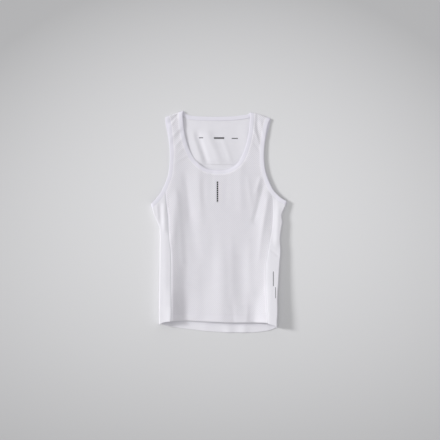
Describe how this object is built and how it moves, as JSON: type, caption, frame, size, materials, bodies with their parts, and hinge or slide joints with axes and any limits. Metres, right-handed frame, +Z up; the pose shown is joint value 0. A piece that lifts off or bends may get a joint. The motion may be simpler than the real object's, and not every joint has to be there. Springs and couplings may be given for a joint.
{
  "type": "sleeveless base layer top",
  "caption": "Sleeveless base layer laid flat on its back: mesh front, plain back, yoke and side panels, with a folded binding round the neck and armholes.",
  "frame": {"origin": "middle of the laid garment's outline, on the surface that its back lies on", "axes": "+Z up out of the surface and through the front; +Y from the hem to the neck; +X to the right as seen from above"},
  "size_m": [0.3955, 0.6444, 0.0299],
  "materials": {
    "mesh_knit": "white open mesh knit, matt",
    "plain_knit": "white plain knit, matt",
    "binding_knit": "white folded elastic knit with a slight sheen"
  },
  "bodies": {
    "root": {"front_panel": "mesh_knit", "back_panel": "plain_knit", "back_yoke": "plain_knit", "side_panel_left": "plain_knit", "side_panel_right": "plain_knit", "neck_binding": "binding_knit", "armhole_binding_left": "binding_knit", "armhole_binding_right": "binding_knit"}
  },
  "joints": []
}
